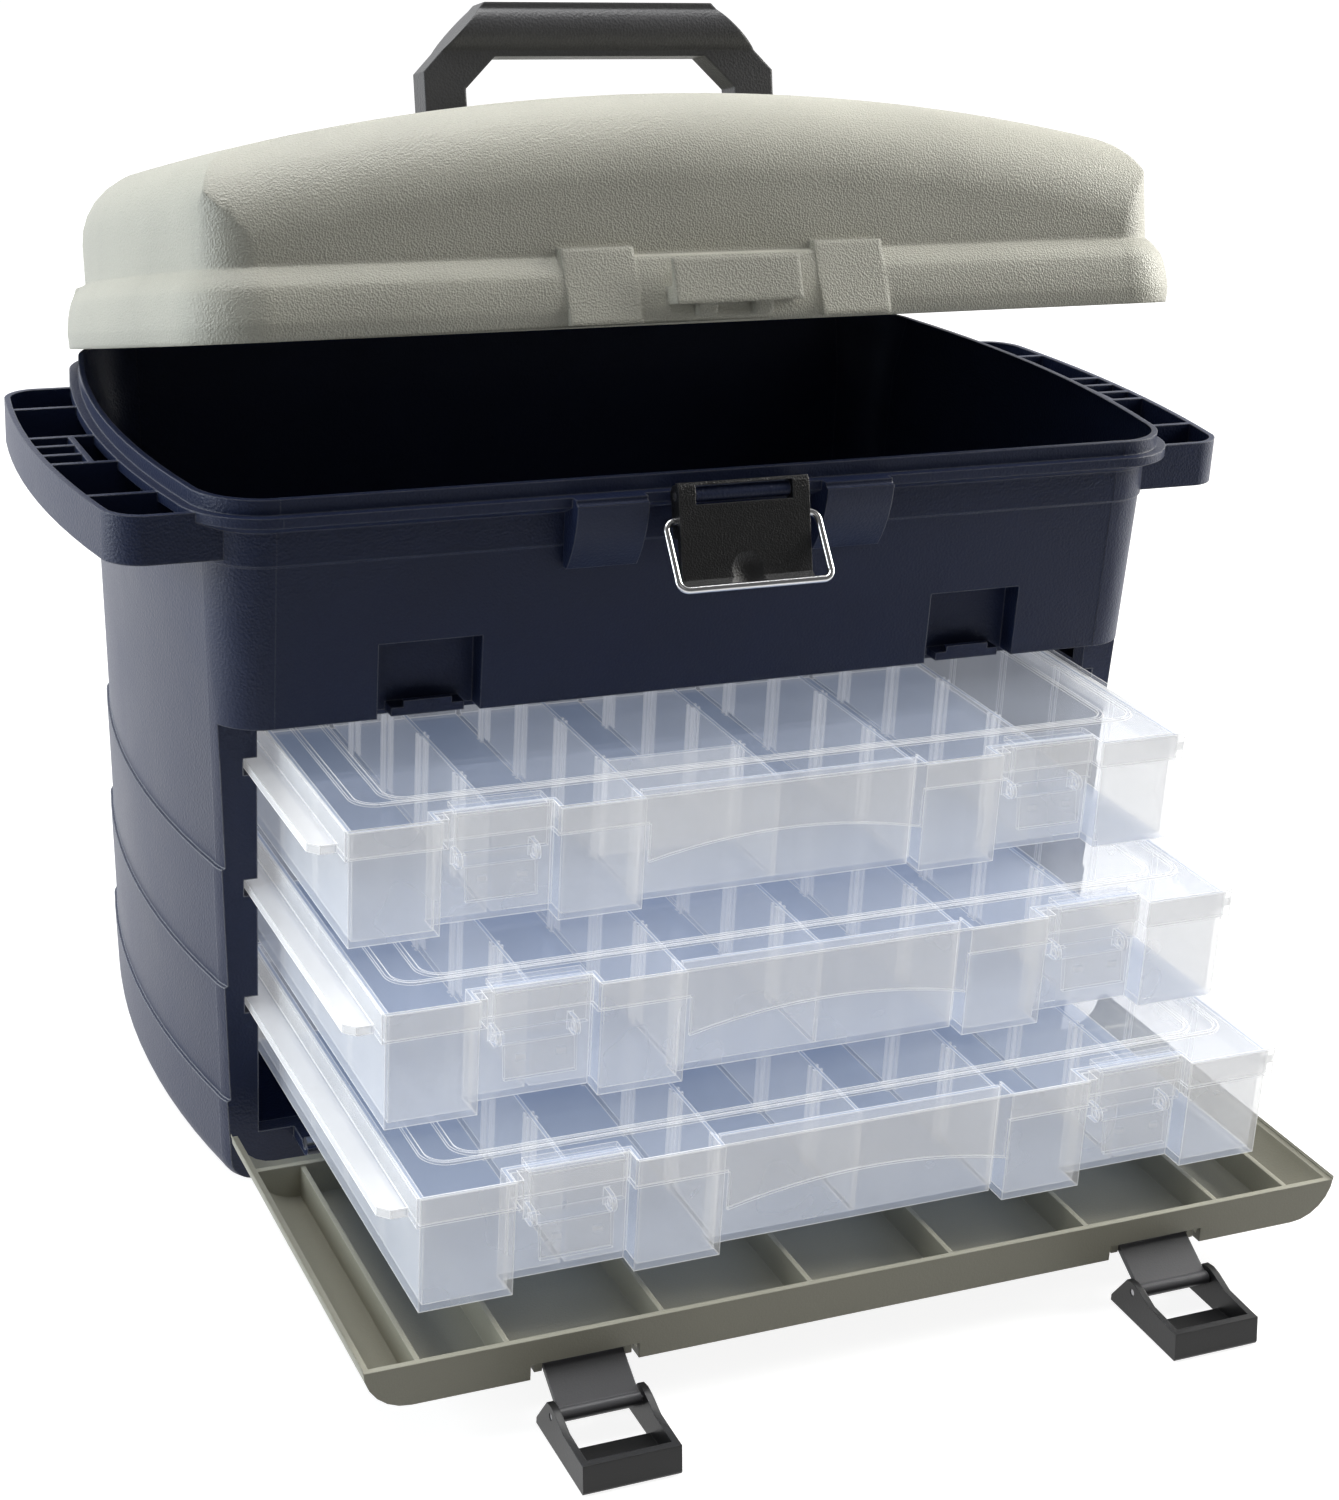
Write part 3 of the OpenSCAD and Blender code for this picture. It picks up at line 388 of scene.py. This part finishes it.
def settle(piece, node):
    """The piece stands for a CAD node: it rides on its body, and the node is hidden."""
    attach(piece, frame["nodes"][node]["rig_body"])
    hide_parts(node)


def dress(node, material):
    """Gives a CAD node its finish."""
    mesh = frame["nodes"][node].data
    mesh.materials.clear()
    mesh.materials.append(material)


def smooth_patches(work, angle):
    """Lists of faces that run into each other below the angle."""
    waiting = set(work.faces)
    patches = []
    while waiting:
        queue = [waiting.pop()]
        patch = []
        while queue:
            face = queue.pop()
            patch.append(face)
            for edge in face.edges:
                if len(edge.link_faces) == 2 and edge.calc_face_angle(math.pi) < angle:
                    beside = [other for other in edge.link_faces if other in waiting]
                    waiting.difference_update(beside)
                    queue.extend(beside)
        patches.append(patch)
    return patches


def mark_edges(work, angle, width):
    """Cuts a strip along the rim of every patch and marks it as an edge.

    A narrow patch is marked whole: fully where it lies level, weakly where it stands upright."""
    mark = work.faces.layers.float.new("edge")
    for patch in smooth_patches(work, angle):
        inside = set(patch)
        rim = [e for f in patch for e in f.edges if sum(other in inside for other in e.link_faces) == 1]
        around = sum(e.calc_length() for e in rim)
        if sum(f.calc_area() for f in patch) > NARROW * width * around:
            strip = bmesh.ops.inset_region(work, faces=patch, thickness=width, use_even_offset=True)
            for face in strip["faces"]:
                face[mark] = 1.0
        else:
            for face in patch:
                face[mark] = max(0.3, abs(face.normal.z))


def roll_in(over_foot):
    """How far the lid's rolled band stands back from the CAD band, at a height over its foot."""
    over_top = over_foot - BAND_HEIGHT
    if over_top > 0:
        return ROLL_TOP * max(0.0, 1 - over_top / ROLL_LEDGE)
    if over_top > -ROLL_HEIGHT:
        return ROLL_TOP * (1 + over_top / ROLL_HEIGHT) ** 2
    return ROLL_FOOT * max(0.0, 1 - max(0.0, over_foot) / ROLL_HEIGHT) ** 2


def from_core(place):
    """The way from the lid's core, a rectangle round its middle, out to a place."""
    nearest = [max(-limit, min(limit, at)) for at, limit in zip(place, ROLL_CORE)]
    return place - Vector(nearest)


def roll_band(work):
    """Rounds the lid's band into a roll. The pads and the rear keep their faces.

    The lid is turned shut for the work and back again after it. Seam vertices touch only faces that look
    along the band, and they move with the rolled ones beside them."""
    low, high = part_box("lid_hinge_pins")
    hinge = (low + high) / 2
    shut = Matrix.Translation(hinge) @ Matrix.Rotation(LID_OPEN, 4, "X") @ Matrix.Translation(-hinge)
    work.transform(shut)
    work.normal_update()
    foot = min(v.co.z for v in work.verts if v.co.y < 0)
    for level in ROLL_CUTS:
        everything = work.verts[:] + work.edges[:] + work.faces[:]
        cut = (0, 0, foot + level)
        bmesh.ops.bisect_plane(work, geom=everything, plane_co=cut, plane_no=(0, 0, 1))
    rolled, seams = {}, {}
    for vert in work.verts:
        way = from_core(vert.co.xy)
        step = roll_in(vert.co.z - foot)
        if step and way.length and vert.co.z > foot - SLACK:
            way.normalize()
            front = max(0.0, min(1.0, 1 - 2 * way.y))
            move = way * step * front
            outer = [f for f in vert.link_faces if f.normal.z > 0.9 or f.normal.xy.dot(way) > FACING]
            if any(abs(f.calc_center_median().x) > PAD_EDGE for f in outer):
                rolled[vert] = move
            elif all(max(abs(f.normal.z), abs(f.normal.xy.dot(way))) <= FACING for f in vert.link_faces):
                seams[vert] = move
    for vert, move in seams.items():
        if abs(vert.co.x) > PAD_EDGE and any(e.other_vert(vert) in rolled for e in vert.link_edges):
            vert.co.xy -= move
    for vert, move in rolled.items():
        vert.co.xy -= move
    work.transform(shut.inverted())


def form(node, material, angle=SMOOTH_ANGLE, strip=0.0, shape=None):
    """A copy of a CAD node with its doubles merged, so that faces that meet shade as one surface.

    A strip is the width of the edges to mark. A shape is a function that reworks the copy."""
    mesh = frame["nodes"][node].data.copy()
    mesh.name = node + "_form"
    work = bmesh.new()
    work.from_mesh(mesh)
    bmesh.ops.remove_doubles(work, verts=work.verts, dist=MERGE)
    if shape:
        shape(work)
    if strip:
        mark_edges(work, math.radians(angle), strip)
    for face in work.faces:
        face.smooth = True
    for edge in work.edges:
        edge.smooth = len(edge.link_faces) == 2 and edge.calc_face_angle(0.0) < math.radians(angle)
    work.to_mesh(mesh)
    work.free()
    if "custom_normal" in mesh.attributes:
        mesh.attributes.remove(mesh.attributes["custom_normal"])
    mesh.materials.clear()
    mesh.materials.append(material)
    piece = bpy.data.objects.new(node + "_form", mesh)
    bpy.context.scene.collection.objects.link(piece)
    even = piece.modifiers.new("Even shading", "WEIGHTED_NORMAL")
    even.keep_sharp = True
    settle(piece, node)


def wire(material):
    """The bail as one bent wire: its path runs from peg to peg, with rounded bends."""
    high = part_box("latch_bail")[1]
    along = Vector((0.0, -math.sin(BAIL_LEAN), -math.cos(BAIL_LEAN)))
    pivot = Vector((0.0, high.y - WIRE_RADIUS, high.z - WIRE_RADIUS))
    foot = pivot + along * BAIL_REACH
    reach = Vector((high.x - WIRE_RADIUS, 0.0, 0.0))
    peg = Vector((BAIL_PEG, 0.0, 0.0))
    path = [pivot - peg, pivot - reach, foot - reach, foot + reach, pivot + reach, pivot + peg]
    bent = Growth("bent_wire", {"Geometry": "Geometry", "Wire radius": "Float", "Bend radius": "Float",
                                "Material": "Material"})
    line = bent.node("GeometryNodeMeshToCurve", None, {"Mesh": bent.take("Geometry")}, "Curve")
    round_line = bent.node("GeometryNodeFilletCurve", {"mode": "POLY"},
                           {"Curve": line, "Count": 8, "Radius": bent.take("Bend radius")}, "Curve")
    section = bent.node("GeometryNodeCurvePrimitiveCircle", None,
                        {"Resolution": 20, "Radius": bent.take("Wire radius")}, "Curve")
    rod = bent.node("GeometryNodeCurveToMesh", None,
                    {"Curve": round_line, "Profile Curve": section, "Fill Caps": True}, "Mesh")
    bent.end(bent.node("GeometryNodeSetShadeSmooth", None, {"Geometry": rod}, "Geometry"))
    piece = bent.grow("bail_wire", path, [(i, i + 1) for i in range(len(path) - 1)],
                      {"Wire radius": WIRE_RADIUS, "Bend radius": BEND_RADIUS, "Material": material})
    settle(piece, "latch_bail")


def latch_pips(material):
    """Two small catches on the face of every tray latch."""
    pips = Growth("latch_pips", {"Geometry": "Geometry", "Size": "Vector", "Material": "Material"})
    pip = pips.node("GeometryNodeMeshCube", None, {"Size": pips.take("Size")}, "Mesh")
    pips.end(pips.node("GeometryNodeInstanceOnPoints", None,
                       {"Points": pips.take("Geometry"), "Instance": pip}, "Instances"))
    for tray in TRAYS:
        for side in SIDES:
            node = f"{tray}_tray_{side}_latch"
            low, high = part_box(node)
            mid = (low.x + high.x) / 2
            points = [(mid + dx, low.y + PIP_SUNK, low.z + PIP_UP) for dx in (-PIP_ASIDE, PIP_ASIDE)]
            piece = pips.grow(node + "_pips", points, [], {"Size": PIP_SIZE, "Material": material})
            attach(piece, frame["nodes"][node]["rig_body"])


class BoxSettings(bpy.types.PropertyGroup):
    """Colours and grain that a user would change."""

    navy: bpy.props.FloatVectorProperty(
        name="Body navy", description="Colour of the moulded body", subtype="COLOR", size=4,
        default=(0.012, 0.019, 0.052, 1.0), min=0.0, max=1.0)
    khaki: bpy.props.FloatVectorProperty(
        name="Lid khaki", description="Colour of the moulded lid", subtype="COLOR", size=4,
        default=(0.40, 0.394, 0.338, 1.0), min=0.0, max=1.0)
    stone: bpy.props.FloatVectorProperty(
        name="Door stone", description="Colour of the front door", subtype="COLOR", size=4,
        default=(0.335, 0.325, 0.262, 1.0), min=0.0, max=1.0)
    black: bpy.props.FloatVectorProperty(
        name="Fitting black", description="Colour of the handle, lever, links and clasps", subtype="COLOR",
        size=4, default=(0.014, 0.014, 0.015, 1.0), min=0.0, max=1.0)
    clear: bpy.props.FloatVectorProperty(
        name="Tray tint", description="Tint of the clear trays", subtype="COLOR", size=4,
        default=(0.78, 0.783, 0.79, 1.0), min=0.0, max=1.0)
    grain: bpy.props.FloatProperty(
        name="Grain", description="Size of the pebbles in the moulded grain", default=1.1 * MM,
        min=0.3 * MM, max=4 * MM, unit="LENGTH", precision=5)
    haze: bpy.props.FloatProperty(
        name="Tray haze", description="Share of light that each clear face holds back", default=0.3,
        min=0.02, max=0.9, subtype="FACTOR")


class StageSettings(bpy.types.PropertyGroup):
    """Light levels of the stage."""

    left: bpy.props.FloatProperty(
        name="Left softbox", description="Power of the softbox at the left",
        default=27.5, min=0.0, unit="POWER")
    right: bpy.props.FloatProperty(
        name="Right softbox", description="Power of the softbox at the right",
        default=50.0, min=0.0, unit="POWER")
    top: bpy.props.FloatProperty(
        name="Overhead softbox", description="Power of the overhead softbox",
        default=37.0, min=0.0, unit="POWER")
    front: bpy.props.FloatProperty(
        name="Front softbox", description="Power of the softbox above the camera",
        default=1.0, min=0.0, unit="POWER")
    fill: bpy.props.FloatProperty(
        name="Room light", description="Strength of the even light from all round",
        default=0.12, min=0.0)


class TACKLE_OT_body(bpy.types.Operator):
    """Finish the navy body"""

    bl_idname = "tackle.body"
    bl_label = "Body"

    def execute(self, context):
        s = context.scene.tackle_box
        # The pale edge colour paints highlights along the body's edges as well as scuffs, stronger below 190
        # mm
        navy = moulded("navy_grain", s.navy, spread=0.35, grain=s.grain, depth=0.18 * MM, roughness=0.42,
                       edge=0.9 * MM, scuff_and_highlight=(0.42, 0.43, 0.46, 1.0), gloss=0.3, paler_edges_below=190 * MM)
        form("body", navy)
        return {"FINISHED"}


class TACKLE_OT_lid(bpy.types.Operator):
    """Finish the khaki lid"""

    bl_idname = "tackle.lid"
    bl_label = "Lid"

    def execute(self, context):
        s = context.scene.tackle_box
        khaki = moulded("khaki_grain", s.khaki, spread=0.4, grain=0.75 * s.grain, depth=0.3 * MM,
                        roughness=0.5, edge=3.0 * MM, scuff_and_highlight=lighter(s.khaki, 1.15))
        form("lid", khaki, shape=roll_band)
        return {"FINISHED"}


class TACKLE_OT_door(bpy.types.Operator):
    """Finish the front door"""

    bl_idname = "tackle.door"
    bl_label = "Door"

    def execute(self, context):
        s = context.scene.tackle_box
        stone = moulded("stone_satin", s.stone, spread=0.16, grain=0.8 * s.grain, depth=0.05 * MM,
                        roughness=0.46, edge=0.7 * MM, scuff_and_highlight=lighter(s.stone, 1.5))
        form("door", stone)
        return {"FINISHED"}


class TACKLE_OT_fittings(bpy.types.Operator):
    """Finish the handle, the latch lever, the links and the clasps"""

    bl_idname = "tackle.fittings"
    bl_label = "Black fittings"

    def execute(self, context):
        s = context.scene.tackle_box
        scuff_and_highlight = lighter(s.black, 4.0)
        fine = 0.7 * s.grain
        # One black in lit and shaded copies: the handle and the links are painted lighter and the lever and
        # clasps darker, for how light falls on each
        grained = moulded("black_grain", lighter(s.black, 3.4), spread=0.4, grain=s.grain, depth=0.16 * MM,
                          roughness=0.4, edge=1.4 * MM, scuff_and_highlight=scuff_and_highlight)
        dark = moulded("black_lever", lighter(s.black, 0.6), spread=0.4, grain=fine, depth=0.26 * MM,
                       roughness=0.34, edge=0.6 * MM, scuff_and_highlight=scuff_and_highlight)
        satin = moulded("black_satin", lighter(s.black, 0.6), spread=0.3, grain=fine, depth=0.03 * MM,
                        roughness=0.34, edge=0.6 * MM, scuff_and_highlight=scuff_and_highlight)
        painted_lit_black = moulded("grey_satin", lighter(s.black, 5.5), spread=0.2, grain=fine, depth=0.03 * MM,
                       roughness=0.36, edge=0.6 * MM, scuff_and_highlight=lighter(s.black, 11.0))
        form("handle", grained)
        form("latch_lever", dark)
        for side in SIDES:
            form(side + "_link", painted_lit_black)
            form(side + "_clasp", satin)
        return {"FINISHED"}


class TACKLE_OT_metal(bpy.types.Operator):
    """Finish the hinge pins and bend the wire bail"""

    bl_idname = "tackle.metal"
    bl_label = "Metal"

    def execute(self, context):
        bright = plated("bright_wire", (0.86, 0.86, 0.87, 1.0), roughness=0.1, streak=(1.0, 0.2, 0.2))
        plain = plated("plain_steel", (0.55, 0.55, 0.57, 1.0), roughness=0.28, streak=(0.1, 1.0, 1.0))
        wire(bright)
        pins = ["lid_hinge_pins", "handle_pins", "lever_pin", "door_hinge_pins", "link_pins"]
        for node in pins + [side + "_clasp_pin" for side in SIDES]:
            dress(node, plain)
        return {"FINISHED"}


class TACKLE_OT_trays(bpy.types.Operator):
    """Finish the clear trays, their lids, latches and divider"""

    bl_idname = "tackle.trays"
    bl_label = "Trays"

    def execute(self, context):
        s = context.scene.tackle_box
        # The glow of each finish is painted light that stands in for light passing through the plastic
        base = clear_plastic("clear_base", s.clear, body=s.haze, glow=0.27, floor=0.22, rim=0.24)
        lid = clear_plastic("clear_lid", s.clear, body=0.7 * s.haze, glow=0.22, floor=-0.1, rim=0.3)
        latch = clear_plastic("clear_latch", s.clear, body=0.6 * s.haze, glow=0.22, floor=0.0, rim=0.2)
        for tray in TRAYS:
            form(tray + "_tray_base", base, TRAY_ANGLE, TRAY_STRIP)
            form(tray + "_tray_lid", lid, TRAY_ANGLE, TRAY_STRIP)
            for side in SIDES:
                form(f"{tray}_tray_{side}_latch", latch, TRAY_ANGLE, LATCH_STRIP)
        form("tray_divider", base, TRAY_ANGLE, TRAY_STRIP)
        latch_pips(latch)
        return {"FINISHED"}


# Stage

def softbox(name, place, aim, width, height, power, tint=(1.0, 1.0, 1.0)):
    """A flat lamp that is turned to what it aims at."""
    light = bpy.data.lights.new(name, "AREA")
    light.color = tint
    light.shape = "RECTANGLE"
    light.size = width
    light.size_y = height
    light.energy = power
    lamp = bpy.data.objects.new(name, light)
    lamp.location = place
    lamp.rotation_euler = (Vector(aim) - Vector(place)).to_track_quat("-Z", "Y").to_euler()
    bpy.context.scene.collection.objects.link(lamp)


def pale_floor():
    """Matt floor that looks white, and darker in a mirror towards the camera's side of the room.

    Near the object it glows less, because the lamps light it there."""
    finish = Finish("pale_floor")
    speck = finish.noise(0.4, 2.0)
    tone = finish.blend(speck, (0.35, 0.35, 0.35, 1.0), (0.37, 0.37, 0.37, 1.0))
    matt = finish.node("ShaderNodeBsdfDiffuse", None, {"Color": tone}, "BSDF")
    behind = finish.ramp(finish.axis(finish.place, "Y"), -0.9, -0.1)
    distance = finish.node("ShaderNodeVectorMath", {"operation": "LENGTH"}, {0: finish.place}, "Value")
    level = FLOOR_LEVEL + finish.ramp(distance, FLOOR_NEAR, FLOOR_FAR) * (1 - FLOOR_LEVEL)
    glow = finish.node("ShaderNodeEmission", None, {"Strength": finish.shown(behind) * level}, "Emission")
    both = finish.node("ShaderNodeAddShader", None, {0: matt, 1: glow}, "Shader")
    finish.node("ShaderNodeOutputMaterial", None, {"Surface": both}, None)
    return finish.material


def room(level):
    """The world: white to the eye, darker in a mirror towards the camera's side, even light on the object."""
    world = bpy.data.worlds.new("room")
    world.use_nodes = True
    tree = Tree(world.node_tree)
    way = tree.node("ShaderNodeTexCoord", out="Generated")
    behind = tree.ramp(tree.axis(way, "Y"), -0.3, 0.3)
    strength = tree.shown(behind) * (1.0 - level) + level
    white = {"Color": (1, 1, 1, 1), "Strength": strength}
    shade = tree.node("ShaderNodeBackground", None, white, "Background")
    tree.node("ShaderNodeOutputWorld", None, {"Surface": shade}, None)
    return world


class TACKLE_OT_stage(bpy.types.Operator):
    """Build the floor, the lights and the camera"""

    bl_idname = "tackle.stage"
    bl_label = "Stage"

    def execute(self, context):
        scene = context.scene
        s = scene.tackle_stage
        mesh = bpy.data.meshes.new("floor")
        ground = CAD_BOX[0].z - FLOOR_GAP
        corners = [(x * FLOOR_HALF, y * FLOOR_HALF, ground) for x, y in ((-1, -1), (1, -1), (1, 1), (-1, 1))]
        mesh.from_pydata(corners, [], [(0, 1, 2, 3)])
        mesh.materials.append(pale_floor())
        floor = bpy.data.objects.new("floor", mesh)
        scene.collection.objects.link(floor)
        softbox("left_softbox", place=(-1.7, 0.3, 0.52), aim=(0, 0, 0.2), width=1.3, height=1.2,
                power=s.left, tint=COOL)
        softbox("right_softbox", place=(1.75, -0.12, 0.85), aim=(0, 0, 0.25), width=1.0, height=1.2,
                power=s.right, tint=WARM)
        softbox("overhead_softbox", place=(-0.1, 0.4, 1.9), aim=(0, -0.05, 0), width=1.6, height=1.3,
                power=s.top)
        softbox("front_softbox", place=(-0.3, -2.2, 1.7), aim=(0, -0.2, 0.1), width=1.2, height=0.9,
                power=s.front)
        scene.world = room(s.fill)
        lens = bpy.data.cameras.new("camera")
        lens.sensor_width = 36.0
        lens.lens = CAMERA_LENS
        lens.clip_end = 100.0
        camera = bpy.data.objects.new("camera", lens)
        turn = Matrix((CAMERA_RIGHT, CAMERA_UP, CAMERA_BACK)).transposed().to_4x4()
        camera.matrix_world = Matrix.Translation(CAMERA_PLACE) @ turn
        scene.collection.objects.link(camera)
        scene.camera = camera
        scene.view_settings.view_transform = "Standard"
        scene.cycles.transparent_max_bounces = 32
        return {"FINISHED"}


PIECES = (TACKLE_OT_body, TACKLE_OT_lid, TACKLE_OT_door, TACKLE_OT_fittings, TACKLE_OT_metal, TACKLE_OT_trays,
          TACKLE_OT_stage)


class TACKLE_PT_panel(bpy.types.Panel):
    """Sidebar list of the pieces"""

    bl_idname = "TACKLE_PT_panel"
    bl_label = "Tackle Box"
    bl_space_type = "VIEW_3D"
    bl_region_type = "UI"
    bl_category = "Tackle Box"

    def draw(self, context):
        for group in (context.scene.tackle_box, context.scene.tackle_stage):
            for name in group.__annotations__:
                self.layout.prop(group, name)
        for piece in PIECES:
            self.layout.operator(piece.bl_idname)


CLASSES = (BoxSettings, StageSettings) + PIECES + (TACKLE_PT_panel,)


def register():
    for item in CLASSES:
        bpy.utils.register_class(item)
    bpy.types.Scene.tackle_box = bpy.props.PointerProperty(type=BoxSettings)
    bpy.types.Scene.tackle_stage = bpy.props.PointerProperty(type=StageSettings)


def unregister():
    del bpy.types.Scene.tackle_stage
    del bpy.types.Scene.tackle_box
    for item in reversed(CLASSES):
        bpy.utils.unregister_class(item)


def main():
    register()
    bpy.ops.tackle.body()
    bpy.ops.tackle.lid()
    bpy.ops.tackle.door()
    bpy.ops.tackle.fittings()
    bpy.ops.tackle.metal()
    bpy.ops.tackle.trays()
    bpy.ops.tackle.stage()


if __name__ == "__main__":
    main()
